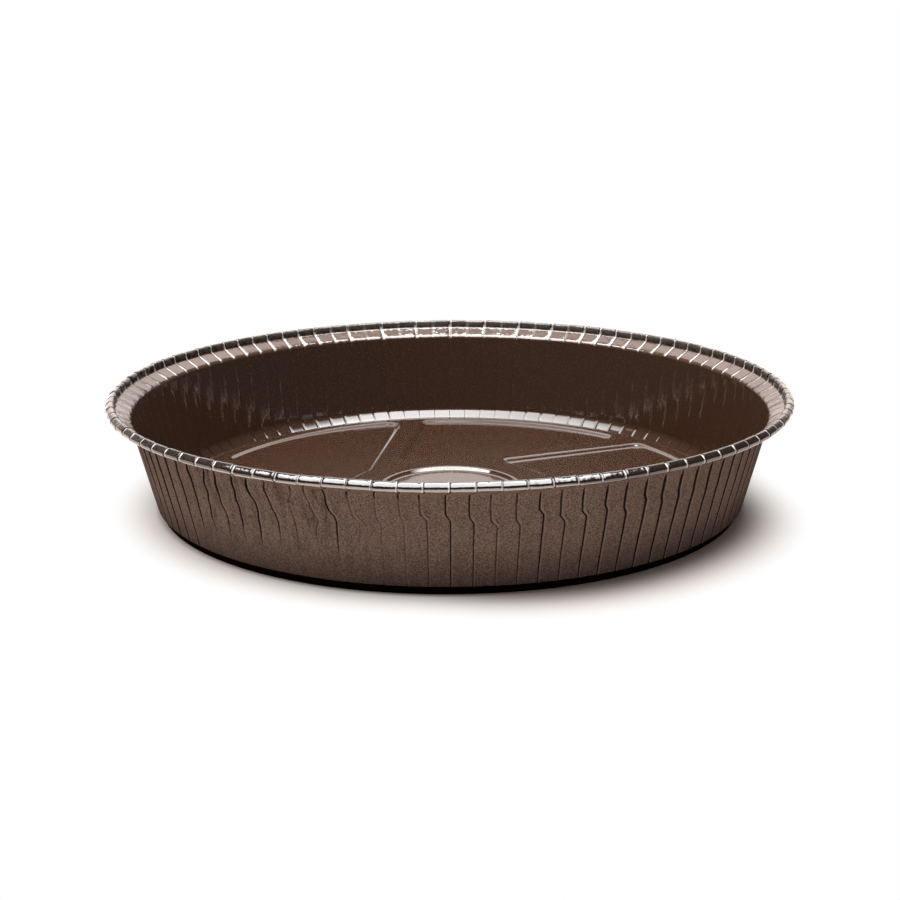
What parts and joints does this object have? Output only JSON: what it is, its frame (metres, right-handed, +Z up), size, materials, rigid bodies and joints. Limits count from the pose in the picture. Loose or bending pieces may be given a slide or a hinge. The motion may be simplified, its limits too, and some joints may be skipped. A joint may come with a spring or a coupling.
{
  "type": "round paper baking mould",
  "caption": "Shallow round baking mould of coated brown paper with a pleated sloping wall, a flanged rim with a rolled bead and an embossed base.",
  "frame": {"origin": "centre of the foot ring on the plane that the mould stands on", "axes": "+Z up along the mould's axis towards the open rim, +X to the right and +Y away from the viewer in the picture"},
  "size_m": [0.21, 0.21, 0.035],
  "materials": {
    "coated_paper": "satin brown paper outside, glossy dark coating inside and over the rim"
  },
  "bodies": {
    "root": {"mold": "coated_paper"}
  },
  "joints": []
}
